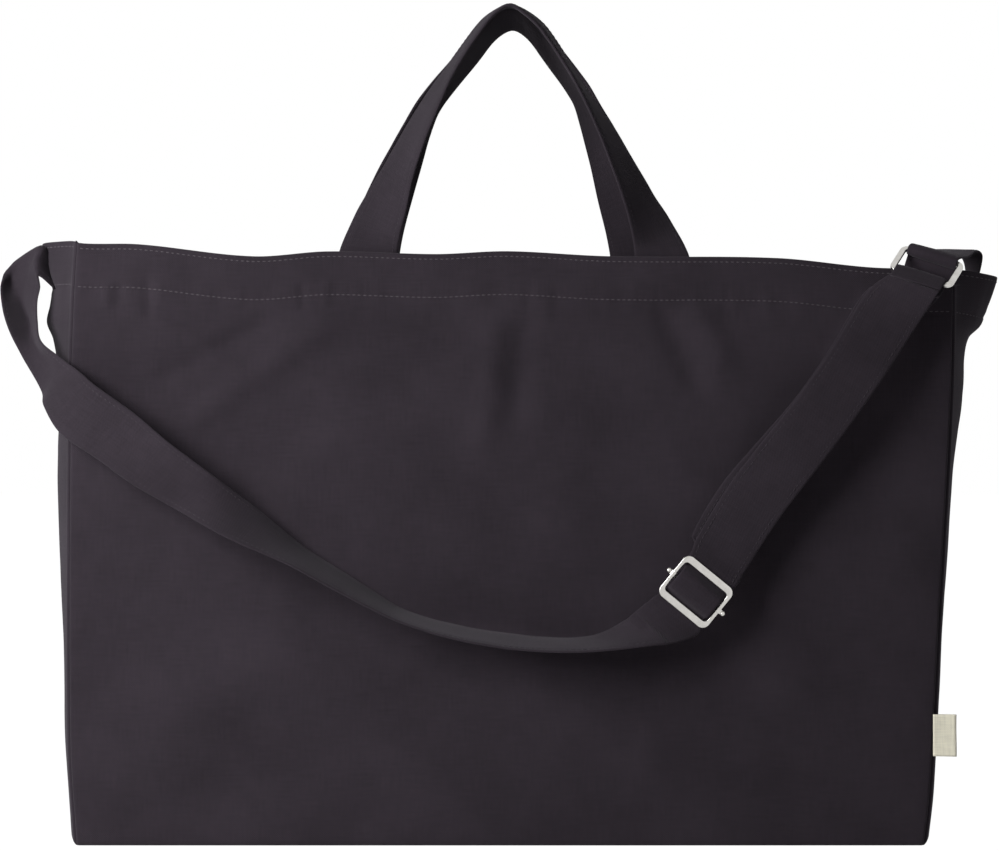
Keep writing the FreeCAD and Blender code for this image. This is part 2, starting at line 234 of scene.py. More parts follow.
# the rolled edge at a seam: its radius, how far round it goes, and how far in the flat cloth starts
ROLL = 0.0015
ROLL_ANGLE = 135
INSET = 2.414 * ROLL
# the hem's depth and the radius of its fold, and the radius of the tuck under the base
HEM = 0.025
HEM_FOLD = 0.001
TUCK = 0.003
# how far the upper row of stitches lies below the mouth's edge
TOP_ROW = 0.003
# a level near the mouth, at which a column's place across the bag is read
NEAR_MOUTH = 0.3


def follow(stops, t):
    """A smooth curve through stops, each a place and a value, read at t."""
    places = [place for place, value in stops]
    i = min(max(bisect.bisect_right(places, t) - 1, 0), len(stops) - 2)
    start, end = stops[i], stops[i + 1]
    before, after = stops[max(i - 1, 0)], stops[min(i + 2, len(stops) - 1)]
    span = end[0] - start[0]
    s = min(max((t - start[0]) / span, 0.0), 1.0)
    leaving = (end[1] - before[1]) * (span / (end[0] - before[0]))
    arriving = (after[1] - start[1]) * (span / (after[0] - start[0]))
    held = start[1] * (2 * s**3 - 3 * s**2 + 1) + end[1] * (3 * s**2 - 2 * s**3)
    return held + leaving * (s**3 - 2 * s**2 + s) + arriving * (s**3 - s**2)


def mm(*values):
    """A point or direction given in millimetres."""
    return Vector(values) / 1000


# half widths at the seams, left and right, against height
left_seam = ((0, 0.2385), (0.06, 0.2425), (0.25, 0.2432), (0.30, 0.2420), (0.335, 0.2402))
right_seam = ((0, 0.2320), (0.03, 0.2355), (0.13, 0.2415), (0.21, 0.2465), (0.26, 0.2490), (0.335, 0.2505))
# how far each gusset's crease stands outside its seam, against height
left_flare = ((0, 0.0072), (0.04, 0.0070), (0.10, 0.0076), (0.19, 0.0122), (0.262, 0.0125), (0.281, 0.0150),
              (0.291, 0.0190), (0.301, 0.0170), (0.31, 0.0165), (0.32, 0.0205), (0.335, 0.0245))
right_flare = ((0, 0.0076), (0.04, 0.0070), (0.09, 0.0074), (0.20, 0.0084), (0.25, 0.0112), (0.27, 0.0115),
               (0.282, 0.0140), (0.289, 0.0205), (0.30, 0.0245), (0.317, 0.0310))
# height of the mouth's edge, against the place across the bag
front_rim = ((-0.27, 0.3368), (-0.246, 0.3354), (-0.237, 0.3332), (-0.205, 0.3326), (-0.142, 0.3260),
             (-0.10, 0.3287), (-0.04, 0.3272), (0, 0.3288), (0.055, 0.3260), (0.15, 0.3250), (0.205, 0.3196),
             (0.25, 0.3192), (0.285, 0.3160))
back_rim = ((-0.27, 0.3362), (-0.237, 0.3325), (-0.15, 0.3265), (-0.10, 0.3280), (0, 0.3262), (0.10, 0.3278),
            (0.17, 0.3240), (0.25, 0.3190), (0.285, 0.3160))


def depth(z):
    """Half the bag's depth over the panels, at height z."""
    return BASE_HALF_DEPTH - DEPTH_LOST * z / HEIGHT


def rim(x, y):
    """Height of the mouth's edge over a spot."""
    share = min(max(0.5 - y / MOUTH_DEPTH, 0.0), 1.0)
    return follow(front_rim, x) * share + follow(back_rim, x) * (1 - share)


def crease(x, z, start, end, width, height):
    """A soft fold from start to end on a wall, fading at both ends."""
    run = (end[0] - start[0], end[1] - start[1])
    length = run[0] ** 2 + run[1] ** 2
    share = ((x - start[0]) * run[0] + (z - start[1]) * run[1]) / length
    off = ((x - start[0]) * run[1] - (z - start[1]) * run[0]) / math.sqrt(length)
    fade = math.exp(-max(0.0, abs(share - 0.5) * 2 - 0.5) ** 2 / 0.12)
    return height * fade * math.exp(-((off / width) ** 2))


def uneven(x, z, seed):
    """The slight waviness of canvas that has been handled."""
    broad = noise.noise(Vector((x * 9, z * 9, seed)))
    middling = noise.noise(Vector((x * 26, z * 22, seed + 7)))
    fine = noise.noise(Vector((x * 80, z * 70, seed + 3)))
    return 0.0020 * broad + 0.0011 * middling + 0.00030 * fine


def hem_pull(x, z, edge, seed):
    """The hem's stitching sinks the cloth and puckers it a little."""
    under = edge - HEM - z
    row = -0.0006 * math.exp(-((under / 0.0016) ** 2))
    row -= 0.0002 * math.exp(-(((edge - z - TOP_ROW) / 0.0012) ** 2))
    ripple = noise.noise(Vector((x * 140, seed, 1.5))) + 0.6 * noise.noise(Vector((x * 330, seed, 4.5)))
    return row + 0.0006 * ripple * math.exp(-((under / 0.008) ** 2))


FRONT_FOLDS = (
    ((-0.085, 0.297), (-0.185, 0.228), 0.009, 0.0032),
    ((-0.120, 0.296), (-0.205, 0.250), 0.006, -0.0018),
    ((-0.215, 0.300), (-0.150, 0.268), 0.007, 0.0017),
    ((-0.222, 0.312), (-0.221, 0.296), 0.0020, 0.0012),
    ((-0.215, 0.312), (-0.214, 0.298), 0.0018, -0.0012),
    ((-0.199, 0.316), (-0.198, 0.288), 0.0026, -0.0015),
    ((-0.113, 0.312), (-0.112, 0.295), 0.0022, -0.0013),
    ((-0.099, 0.314), (-0.100, 0.296), 0.0018, 0.0010),
    ((-0.004, 0.300), (-0.013, 0.212), 0.008, 0.0022),
    ((0.012, 0.300), (0.004, 0.225), 0.007, -0.0015),
    ((0.083, 0.304), (0.110, 0.245), 0.008, -0.0026),
    ((0.104, 0.302), (0.124, 0.262), 0.007, 0.0018),
    ((0.005, 0.3165), (0.076, 0.3155), 0.0020, -0.0010),
    ((0.208, 0.310), (0.176, 0.262), 0.006, 0.0022),
    ((0.160, 0.225), (0.232, 0.262), 0.010, 0.0018),
    ((-0.10, 0.08), (0.13, 0.05), 0.026, 0.0020),
    ((-0.20, 0.05), (-0.10, 0.13), 0.022, 0.0014),
)
BACK_FOLDS = (
    ((0.085, 0.297), (0.175, 0.225), 0.009, 0.0030),
    ((-0.080, 0.300), (-0.150, 0.236), 0.010, 0.0026),
    ((0.02, 0.302), (0.005, 0.22), 0.008, -0.0020),
    ((-0.205, 0.306), (-0.150, 0.255), 0.007, 0.0020),
    ((0.222, 0.308), (0.170, 0.262), 0.006, 0.0018),
    ((0.12, 0.07), (-0.14, 0.10), 0.026, 0.0020),
)


def panel_wall(side, folds, edge_line):
    """The outer face of the front (side -1) or back (side 1) panel."""

    def wall(share, z):
        left, right = -follow(left_seam, z), follow(right_seam, z)
        x = left + INSET + (right - left - 2 * INSET) * share
        edge = follow(edge_line, x)
        middle = math.sin(math.pi * share) * math.sin(math.pi * min(max(z / edge, 0.0), 1.0) ** 0.8)
        slack = uneven(x, z, 10 * side) * min(1.0, 60 * z) * (0.4 + 0.6 * middle) + hem_pull(x, z, edge, side)
        for start, end, width, height in folds:
            slack += crease(x, z, start, end, width, height)
        held = min(1.0, 50 * share, 50 * (1 - share))
        return Vector((x, side * (depth(z) + 0.0045 * middle ** 0.7 + slack * held), z))

    return wall, Vector((0, side, 0)), Vector((1, 0, 0))


def gusset_wall(side, seam, flare):
    """The outer face of the left (side -1) or right (side 1) gusset, from front seam to back seam."""

    def wall(share, z):
        reach = depth(z) - INSET
        y = reach * (2 * share - 1)
        nearness = 1 - abs(2 * share - 1)
        sharp = follow(((0, 0.75), (0.2, 0.85), (0.335, 1.0)), z)
        out = follow(seam, z) + follow(flare, z) * math.sin(nearness * math.pi / 2) ** (sharp * 1.15)
        top = min(max((z - 0.20) / 0.13, 0.0), 1.0)
        out += (0.6 + 1.4 * top) * uneven(y * 1.6, z, 30 * side) * nearness ** 0.5
        out += hem_pull(y, z, rim(side * 0.25, y), side + 5) * min(1.0, 8 * nearness)
        return Vector((side * out, y, z))

    return wall, Vector((side, 0, 0)), Vector((0, 1, 0))


def steps(first, last, count):
    """Evenly spaced numbers from first to last."""
    return [first + (last - first) * i / count for i in range(count + 1)]


def cloth_columns(count):
    """Across a wall: its rolled edge at one seam, the flat cloth, and its rolled edge at the other."""
    near = [(0.0, -angle) for angle in (135, 108, 81, 54, 27)]
    far = [(1.0, angle) for angle in (27, 54, 81, 108, 135)]
    return near + [(share, 0) for share in steps(0.0, 1.0, count)] + far


def cloth_rows():
    """Up a wall: tucked under at the base, the wall, over the top and down inside as the hem.

    Each row is a share of the mouth's height, a lift, a distance inward, and how far the cloth
    has left the wall's rolled outline for the plain one inside it.
    """
    rows = []
    for angle in (90, 60, 30):
        a = math.radians(angle)
        rows.append((0.0, TUCK * (1 - math.sin(a)) + 0.0004, TUCK * (1 - math.cos(a)), 1 - math.cos(a)))
    for share in steps(0.0, 0.84, 78) + steps(0.84, 1.0, 40)[1:]:
        rows.append((share, (TUCK + 0.0004) * (1 - share) - HEM_FOLD * share, 0.0, 0.0))
    for angle in (30, 60, 90, 120, 150, 180):
        a = math.radians(angle)
        rows.append((1.0, HEM_FOLD * (math.sin(a) - 1), HEM_FOLD * (1 - math.cos(a)), (1 - math.cos(a)) / 2))
    for drop in steps(0.0, HEM, 12)[1:]:
        rows.append((1.0, -HEM_FOLD - drop, 2 * HEM_FOLD, 1.0))
    return rows


def on_wall(wall, out, along, column, row):
    """A point of the cloth of one wall, and its place on the flat cloth."""
    share, roll = column
    height, lift, inward, left_outline = row
    edge = wall(share, NEAR_MOUTH)
    top = rim(edge.x, edge.y)
    z = top * height + lift
    start = wall(share, z)
    way = along * (1 if roll > 0 else -1)
    a = math.radians(abs(roll))
    rolled = start + way * (ROLL * math.sin(a)) - out * (ROLL * (1 - math.cos(a)))
    plain = start + way * ((INSET - inward) * abs(roll) / ROLL_ANGLE)
    held_out = (1 - left_outline) * abs(roll) / ROLL_ANGLE
    point = rolled.lerp(plain, left_outline) - out * inward * (1 - held_out)
    inside_hem = height == 1.0 and inward == 2 * HEM_FOLD
    run = -lift + top if inside_hem else z
    return point, (start.dot(along) + way.dot(along) * ROLL * a, run)


def lay_cloth(shape, spots):
    """Smooth faces, with each point's place on the flat cloth as the UV map."""
    flat = shape.loops.layers.uv.new("cloth")
    for face in shape.faces:
        face.smooth = True
        for loop in face.loops:
            loop[flat].uv = spots[loop.vert.index]


def woven(name, columns, rows, place, finish, thickness, inward=-1.0):
    """A piece of cloth on a grid of columns and rows, given its thickness towards the inside."""
    shape = bmesh.new()
    bmesh.ops.create_grid(shape, x_segments=len(columns) - 1, y_segments=len(rows) - 1, size=0.5)
    spots = {}
    for vert in shape.verts:
        i = round((vert.co.x + 0.5) * (len(columns) - 1))
        j = round((vert.co.y + 0.5) * (len(rows) - 1))
        vert.co, spots[vert.index] = place(columns[i], rows[j])
    lay_cloth(shape, spots)
    mesh = bpy.data.meshes.new(name)
    shape.to_mesh(mesh)
    shape.free()
    piece = placed(name, mesh, finish)
    solid = piece.modifiers.new("thickness", "SOLIDIFY")
    solid.thickness = thickness
    solid.offset = inward
    return piece


walls = {
    "front_panel": (panel_wall(-1, FRONT_FOLDS, front_rim), 210),
    "back_panel": (panel_wall(1, BACK_FOLDS, back_rim), 150),
    "left_gusset": (gusset_wall(-1, left_seam, left_flare), 40),
    "right_gusset": (gusset_wall(1, right_seam, right_flare), 40),
}
for name, ((wall, out, along), count) in walls.items():
    piece = woven(
        name + "_cloth",
        cloth_columns(count),
        cloth_rows(),
        lambda column, row: on_wall(wall, out, along, column, row),
        charcoal,
        CLOTH_THICKNESS,
    )
    if name in ("back_panel", "left_gusset"):
        piece.data.flip_normals()
    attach(piece, "bag")
    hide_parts(name)


def on_base(column, row):
    """The base: flat, with its edges turned up a little against the walls."""
    x, y = 0.2325 * column - 0.0033, 0.0465 * row
    return Vector((x, y, 0.0009 + 0.0012 * max(abs(column), abs(row)) ** 40)), (x, y)


base = woven("base_cloth", steps(-1, 1, 120), steps(-1, 1, 36), on_base, charcoal, CLOTH_THICKNESS)
base.data.flip_normals()
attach(base, "bag")
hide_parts("base_panel")


# ------------------------------------------------------------------ carrying handles
# Two bands of canvas folded to 32 mm, each sewn inside the hem at both feet. They rise flat
# and turn edge-on, so that at the top they meet side by side in one narrow bend.

BAND_WIDTH = 0.032
HANDLE_THICKNESS = 0.0024
SHARES = (-0.5, -0.25, 0.0, 0.25, 0.5)
AROUND = 22
# where the rows of stitches lie, as a share of the band's width from its middle
STITCH_LINE = 0.41


def section(count):
    """Once round a band, over one face and back over the other: the share of its width, and the face."""
    half = [0.5 * math.sin(math.pi * i / count - math.pi / 2) for i in range(count + 1)]
    return [(share, 1) for share in half] + [(-share, -1) for share in half[1:]]


def half_thick(share, thickness):
    """Half a band's thickness: full in the middle, folded at its edges, sunk along its stitches."""
    full = thickness / 2 * (1 - abs(2 * share) ** 10) ** 0.5
    return full - 0.00022 * math.exp(-(((abs(share) - STITCH_LINE) / 0.02) ** 2))


def level(first, second):
    """A stop where the band is flat across, from its first edge to its second."""
    return [second.lerp(first, share + 0.5) for share in SHARES]


def paced(stops):
    """Five lines along the band, through every stop's points, with places by their mean length."""
    places = [0.0]
    for last, this in zip(stops, stops[1:]):
        places.append(places[-1] + sum((b - a).length for a, b in zip(last, this)) / 5)
    return [[(place, stop[k]) for place, stop in zip(places, stops)] for k in range(5)]


def band_row(lines, t):
    """The five points across the band at a place along it."""
    return [(share, follow(line, t)) for share, line in zip(SHARES, lines)]


def band(name, lines, thickness, finish, pitch=0.0025):
    """A folded canvas band along its five lines, closed at both ends."""
    length = lines[0][-1][0]
    rows = []
    for t in steps(0.0, length, max(6, round(length / pitch))):
        rows.append((t, band_row(lines, t), band_row(lines, t - 0.0005), band_row(lines, t + 0.0005)))
    columns = section(AROUND)
    shape = bmesh.new()
    bmesh.ops.create_grid(shape, x_segments=len(columns) - 1, y_segments=len(rows) - 1, size=0.5)
    spots = {}
    for vert in shape.verts:
        i = round((vert.co.x + 0.5) * (len(columns) - 1))
        t, row, behind, ahead = rows[round((vert.co.y + 0.5) * (len(rows) - 1))]
        share, face = columns[i]
        here = follow(row, share)
        along = follow(ahead, share) - follow(behind, share)
        across = follow(row, min(share + 0.02, 0.5)) - follow(row, max(share - 0.02, -0.5))
        normal = across.cross(along).normalized()
        rough = 0.0003 * noise.noise(here * 60)
        vert.co = here + normal * (face * half_thick(share, thickness) + rough)
        spots[vert.index] = (BAND_WIDTH * (share if face > 0 else 1 - share), t)
    lay_cloth(shape, spots)
    bmesh.ops.remove_doubles(shape, verts=shape.verts, dist=0.00002)
    bmesh.ops.holes_fill(shape, edges=[edge for edge in shape.edges if edge.is_boundary], sides=0)
    bmesh.ops.recalc_face_normals(shape, faces=shape.faces)
    mesh = bpy.data.meshes.new(name)
    shape.to_mesh(mesh)
    shape.free()
    return placed(name, mesh, finish)


front_handle = paced([level(mm(*inner), mm(*outer)) for inner, outer in (
    ((-60.1, -36.6, 303), (-93.5, -36.6, 303)),
    ((-60.1, -35.9, 326), (-93.5, -35.9, 326)),
    ((-58.8, -39.5, 338), (-85.2, -26.5, 349)),
    ((-55.4, -41.2, 350.8), (-77.1, -20.6, 364.7)),
    ((-51.5, -41.6, 369.6), (-67.2, -15.3, 382.2)),
    ((-45.5, -40.5, 388.6), (-57.5, -11.6, 399.7)),
    ((-38.3, -38.9, 407.1), (-47.1, -8.4, 417.2)),
    ((-26.7, -36.3, 432.5), (-30.7, -4.5, 440.7)),
    ((-11.7, -33.4, 455.3), (-14.2, -1.6, 462.9)),
    ((-3.9, -32.4, 463.9), (-5.0, -0.8, 469.6)),
    ((2.8, -32.3, 466.8), (3.0, -0.7, 471.8)),
    ((11.1, -32.5, 461.6), (14.4, -0.9, 467.0)),
    ((20.3, -33.5, 452.1), (24.1, -1.8, 458.3)),
    ((39.4, -38.2, 421.1), (44.6, -6.4, 425.5)),
    ((51.0, -41.1, 395.7), (59.8, -10.1, 403.3)),
    ((59.2, -43.2, 373.3), (72.9, -14.4, 380.7)),
    ((65.7, -44.0, 353.8), (83.8, -18.5, 361.5)),
    ((69.6, -41.5, 338.5), (92.8, -26.5, 346.0)),
    ((71.8, -35.9, 325), (102.4, -35.9, 325)),
    ((71.8, -36.6, 302), (102.4, -36.6, 302)),
)])
back_handle = paced([level(mm(*inner), mm(*outer)) for inner, outer in (
    ((-63.0, 36.6, 302), (-95.0, 36.6, 302)),
    ((-63.0, 35.9, 326), (-95.0, 35.9, 326)),
    ((-60.5, 39.5, 345), (-87.0, 26.0, 354)),
    ((-55.4, 42.0, 365.5), (-76.5, 22.0, 377)),
    ((-48.9, 42.0, 389.2), (-64.0, 15.0, 398.5)),
    ((-41.7, 40.0, 412.6), (-51.5, 10.5, 418.5)),
    ((-34.6, 38.5, 424.2), (-42.0, 8.0, 430.5)),
    ((-15.7, 35.0, 447.3), (-20.5, 4.0, 454)),
    ((-5.1, 33.5, 459.8), (-7.0, 2.0, 468.6)),
    ((4.3, 32.3, 464.5), (4.0, 0.7, 472.4)),
    ((12.9, 33.5, 459.8), (15.0, 2.0, 467.6)),
    ((22.5, 35.0, 447.3), (27.5, 4.0, 454)),
    ((39.2, 38.5, 424.2), (46.5, 8.0, 430.5)),
    ((43.4, 40.0, 412.6), (53.8, 10.5, 419)),
    ((49.4, 42.0, 389.2), (66.0, 15.0, 399)),
    ((54.7, 42.0, 365.5), (76.0, 22.0, 377)),
    ((59.8, 39.5, 343), (87.0, 26.0, 352)),
    ((62.1, 35.9, 326), (94.0, 35.9, 326)),
    ((62.1, 36.6, 302), (94.0, 36.6, 302)),
)])
for name, side, lines in (("front_handle", -1, front_handle), ("back_handle", 1, back_handle)):
    piece = band(name + "_band", lines, HANDLE_THICKNESS, charcoal)
    side * 0.036
    side * 0.036
    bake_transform(piece)
    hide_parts(name, name + "_ends")


# ------------------------------------------------------------------ shoulder strap
# One length of the same band, sewn inside the left gusset's hem. It bends over the top
# edge, cups as it turns down in front of the gusset, and hangs in a bow across the front.

STRAP_THICKNESS = 0.0018
INTO_SLIDER = [
    level(mm(66, -56, 126), mm(77, -82, 114)),
    level(mm(71, -61, 131), mm(88, -78, 114.5)),
]
strap_lines = paced([
    level(mm(-255, -16, 309), mm(-259.5, 14, 331)),
    [mm(-284, 4, 322.4), mm(-276, -5.5, 327.8), mm(-262.8, -16, 333.2),
     mm(-264.6, -18, 326), mm(-263.5, -20, 316.2)],
    [mm(-286.6, -12, 312.8), mm(-283.2, -2, 314.6), mm(-275, -7.5, 316),
     mm(-268.5, -14.5, 314.5), mm(-262.3, -21.5, 310)],
    [mm(-283.6, -22, 299.3), mm(-280, -14.5, 300.5), mm(-274.6, -9.5, 301.9),
     mm(-269, -17, 302.3), mm(-263.2, -25, 301.9)],
    [mm(-278.6, -29, 286.2), mm(-275.4, -23.5, 288), mm(-269.8, -15.5, 290.3),
     mm(-266.6, -19.5, 291.6), mm(-262.2, -30, 290.5)],
    [mm(-271.6, -30, 272.2), mm(-268.6, -29, 273.8), mm(-265.4, -28, 275.4),
     mm(-262.4, -28.5, 277), mm(-258.8, -37, 279.2)],
    level(mm(-246.4, -43.5, 269.6), mm(-259.5, -31, 251.1)),
    level(mm(-234.3, -51, 261.4), mm(-256.5, -40, 243)),
    level(mm(-224.4, -56, 253.6), mm(-245.9, -50, 228.4)),
    level(mm(-202.4, -60, 238.3), mm(-223.5, -58, 213.7)),
    level(mm(-184.4, -63, 223.5), mm(-203.6, -62, 200)),
    level(mm(-161, -64, 206), mm(-180.5, -64, 187)),
    level(mm(-137.2, -57, 187.3), mm(-150.7, -80, 172)),
    level(mm(-110.3, -54, 165), mm(-118, -83, 158)),
    level(mm(-82, -54, 147), mm(-86, -84, 141)),
    level(mm(-53.8, -54, 130.2), mm(-55, -84, 126)),
    level(mm(-19.2, -54, 121), mm(-18, -84, 115.6)),
    level(mm(19.2, -54, 116), mm(20, -84, 111)),
    level(mm(47, -54, 116.5), mm(51, -84, 111.5)),
    *INTO_SLIDER,
])
SLIDER = sum(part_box("slider_frame"), Vector()) / 2
UP_RUN = Vector((0.6326, 0, 0.7745))
SLIDER_RIGHT = Vector((0.7745, 0, -0.6326))


def beside_slider(along, behind, half):
    """A stop by the slider, in mm: how far up the run, how far behind it, and half the width."""
    centre = SLIDER + UP_RUN * along / 1000 + mm(0, behind, 0)
    return level(centre - SLIDER_RIGHT * half / 1000, centre + SLIDER_RIGHT * half / 1000)


strap = band("shoulder_strap_band", strap_lines, STRAP_THICKNESS, charcoal)
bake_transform(strap)
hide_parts("shoulder_strap", "strap_root")


# ------------------------------------------------------------------ adjusting run
# The strap passes behind the slider's lower bar, over the pin and behind the upper bar, runs
# up to the ring, folds over the ring's lower bar and comes back down behind itself. Its end
# is sewn round the slider's pin.

RUN_THICKNESS = 0.0016
through = paced([
    *INTO_SLIDER,
    beside_slider(-17.4, 2.2, 15.8),
    beside_slider(-11.7, 2.3, 14.2),
    beside_slider(-8.4, 1.4, 13.4),
    beside_slider(-5.2, -2.9, 13.4),
    beside_slider(0, -3.6, 13.4),
    beside_slider(5.2, -2.9, 13.4),
    beside_slider(8.4, 1.4, 13.4),
    beside_slider(11.7, 2.3, 14.2),
    beside_slider(14, 2.3, 15),
])
sliding = band("strap_through_slider", through, RUN_THICKNESS, charcoal, pitch=0.0015)
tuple(through[2][1][1])
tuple(through[2][3][1])
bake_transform(sliding)
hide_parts("strap_adjusting_run")

RING = sum(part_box("strap_ring"), Vector()) / 2
RING_WAY = Vector((0.8652, -0.3851, -0.3201))
RING_BACK = Vector((0.0697, 0.7256, -0.6847))
RING_FALL = Vector((-0.496, -0.570, -0.6545))
# half the strap's width in the ring and how far its middle runs from a bar's, in mm
RING_HALF = 14.45
RING_ROUND = 2.75
# how far each of the ring's bars stands from its middle
RING_BAR = 0.0093


def round_bar(centre, forward, onward, first, last, count, across, radius, half):
    """Stops round a bar, from one angle to another, in mm and degrees."""
    stops = []
    for angle in steps(math.radians(first), math.radians(last), count):
        spot = centre + (forward * math.cos(angle) + onward * math.sin(angle)) * radius / 1000
        stops.append(level(spot - across * half / 1000, spot + across * half / 1000))
    return stops


def moved(stop, way):
    """The same stop carried along."""
    return [point + way for point in stop]


lower_bar = RING + RING_FALL * RING_BAR
wrap = round_bar(lower_bar, -RING_BACK, -RING_FALL, 0, 180, 8, RING_WAY, RING_ROUND, RING_HALF)
front_run = [
    beside_slider(10, 2.3, 13.8),
    beside_slider(15, 2.3, 15.2),
    level(mm(103.5, -65.6, 171), mm(128.5, -65.6, 151)),
    level(mm(120.5, -65.6, 199), mm(147.3, -65.6, 180)),
    level(mm(136, -66, 219.5), mm(161, -66, 198.3)),
    level(mm(157.5, -66, 246.5), mm(181.6, -66, 225.2)),
    level(mm(177, -65, 274), mm(203, -66, 255.3)),
    level(mm(197.6, -59, 305.6), mm(225, -62, 288.3)),
    moved(wrap[0], RING_FALL * 0.006),
]
back_run = [
    beside_slider(12.5, 4.4, 14.6),
    beside_slider(20, 4.4, 15.6),
    level(mm(101, -63.7, 172), mm(126, -63.7, 152)),
    level(mm(117.5, -63.7, 200.5), mm(144.5, -63.7, 181.5)),
    level(mm(134, -63.8, 220), mm(159.5, -63.8, 199.3)),
    level(mm(157, -63.8, 246.7), mm(181.2, -63.8, 225.4)),
    level(mm(176.5, -62.7, 274.2), mm(202.5, -63.6, 255.5)),
    level(mm(197, -56.5, 305.8), mm(224.5, -59.5, 288.5)),
    moved(wrap[-1], RING_FALL * 0.006),
]
# the way the slider slides and how far
SLIDE = Vector((0.587, 0.017, 0.809))
TRAVEL = 0.12
anchor = wrap[0][2] + RING_FALL * 0.006
runs = []
for name, run in (("strap_front_run", front_run), ("strap_back_run", back_run)):
    lines = paced(run)
    piece = band(name, lines, RUN_THICKNESS, charcoal)
    keep = 1 - TRAVEL / (anchor - run[0][2]).dot(SLIDE)
    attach(piece, "shoulder_strap")
    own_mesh(piece)
    runs.append((name, lines, keep))
fold = band(
    "strap_ring_fold",
    paced([moved(wrap[0], RING_FALL * 0.008)] + wrap + [moved(wrap[-1], RING_FALL * 0.008)]),
    0.0017, charcoal, pitch=0.0008,
)
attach(fold, "shoulder_strap")

# the pin's middle lies a little behind the slider's, and the loop's middle runs round it, in mm
PIN_BEHIND = 0.8
PIN_ROUND = 2.2
pin = SLIDER + mm(0, PIN_BEHIND, 0)
loop = [
    beside_slider(16, 6.9, 15),
    beside_slider(12, 6.9, 14.6),
    beside_slider(8.5, 6.6, 13.8),
    beside_slider(4.5, 4.7, 13.4),
    *round_bar(pin, Vector((0, 1, 0)), -UP_RUN, 0, 280, 12, SLIDER_RIGHT, PIN_ROUND, 13.3),
]
end_loop = band("strap_end_loop_band", paced(loop), 0.0015, charcoal, pitch=0.0009)
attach(end_loop, "slider_pin")
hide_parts("strap_end_loop")


# ------------------------------------------------------------------ sewn ends
# The strap's first end and the ring's tab are sewn flat inside the hem of the two gussets. The
# tab comes up over the edge, round the ring's upper bar and back down beside itself.

for name, x, z in (("strap_anchor", -1, 0.331), ("tab_anchor", 1, 0.316)):
    flare = left_flare if x < 0 else right_flare
    seam = left_seam if x < 0 else right_seam

    def against_hem(down):
        out = follow(seam, z - down) + follow(flare, z - down) - 0.0048
        slope = follow(flare, z - down) * 0.016 / 0.038
        return [
            Vector((x * (out - slope * abs(share) * 2), -BAND_WIDTH * share, z - down))
            for share in SHARES
        ]

    stops = [against_hem(down) for down in (0.027, 0.018, 0.009, 0.0)]
    tail = band(name + "_band", paced(stops), STRAP_THICKNESS, charcoal)
    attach(tail, "bag")
    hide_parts(name)

upper_bar = RING - RING_FALL * RING_BAR
roll = round_bar(upper_bar, -RING_BACK, RING_FALL, 0, 180, 8, RING_WAY, RING_ROUND, RING_HALF)
tab = band(
    "ring_tab_band",
    paced([
        level(mm(265, 16, 306), mm(265, -16, 306)),
        level(mm(267, 16, 320), mm(268, -15, 318)),
        level(mm(264, 15, 330), mm(270, -14, 328)),
        level(mm(254, 8, 332.8), mm(266, -20, 330.4)),
        level(mm(240, -14, 331.6), mm(259, -34, 326.4)),
        moved(roll[0], RING_FALL * -0.003 + mm(0, 0, -1)),
        *roll,
        moved(roll[-1], mm(-1.5, 4, -8.5)),
        level(mm(233, -12, 317), mm(255, -30, 311)),
        level(mm(250, 4, 319), mm(260, -20, 313)),
        level(mm(257, 15, 312), mm(259, -14, 310)),
    ]),
    RUN_THICKNESS, charcoal, pitch=0.0012,
)
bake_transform(tab)
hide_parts("ring_tab")


# ------------------------------------------------------------------ metal fittings
# The ring and the slider's frame and pin are stamped and cast zinc, nickel plated and
# brushed to a satin: pale grey, with fine scratches and a little uneven wear.

nickel, link = material("satin_nickel")
spot = link.node("ShaderNodeTexCoord", {}, {}, 3)
grain = link.node("ShaderNodeMapping", {}, {"Vector": spot, "Scale": (900.0, 900.0, 2500.0)})
scratches = link.node("ShaderNodeTexNoise", {}, {"Vector": grain, "Scale": 1.0, "Detail": 3.0})
wear = link.node("ShaderNodeTexNoise", {}, {"Vector": spot, "Scale": 260.0, "Detail": 2.0})
satin = link.node("ShaderNodeBump", {}, {"Height": scratches, "Strength": 0.25, "Distance": 0.00006})
metal_tint = link.node(
    "ShaderNodeMix",
    {"data_type": "RGBA", "blend_type": "MIX"},
    {0: wear, 6: (0.46, 0.445, 0.42, 1), 7: (0.66, 0.645, 0.62, 1)},
    2,
)
plate = link.node(
    "ShaderNodeBsdfPrincipled",
    {},
    {"Base Color": metal_tint, "Metallic": 1.0, "Roughness": 0.22 + wear * 0.16, "Normal": satin},
)
link.node("ShaderNodeOutputMaterial", {}, {"Surface": plate})
for name in ("strap_ring", "slider_frame", "slider_pin"):
    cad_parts[name].data.materials.clear()
    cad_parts[name].data.materials.append(nickel)


# ------------------------------------------------------------------ side label
# A cream cotton tape, folded in two and caught by its ends in the right front seam. It is
# blank, and its folded edge stands a little away from the gusset.

LABEL_WIDTH = 0.0120
LABEL_HEIGHT = 0.023
# how far the tape stands outside its plain solid
LABEL_OUT = 0.0034
cream = canvas("cream_tape", (0.97, 0.93, 0.76), 0.35)
label_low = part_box("side_label")[0]


def on_label(column, row):
    """The tape: out from the seam, round its fold and back, slightly curled."""
    out, face = column
    curl = 0.0011 * out**2 + 0.0005 * math.sin(row * 5 + 1) * out
    bulge = 0.00045 * math.cos(face * math.pi / 2) * (out > 0.9)
    x = label_low.x + LABEL_OUT + LABEL_WIDTH * out + bulge
    y = label_low.y + 0.0002 - curl - 0.00042 * face
    z = label_low.z + LABEL_HEIGHT * row
    return Vector((x, y, z)), (0.013 * out * (1 if face > 0 else -1), LABEL_HEIGHT * row)


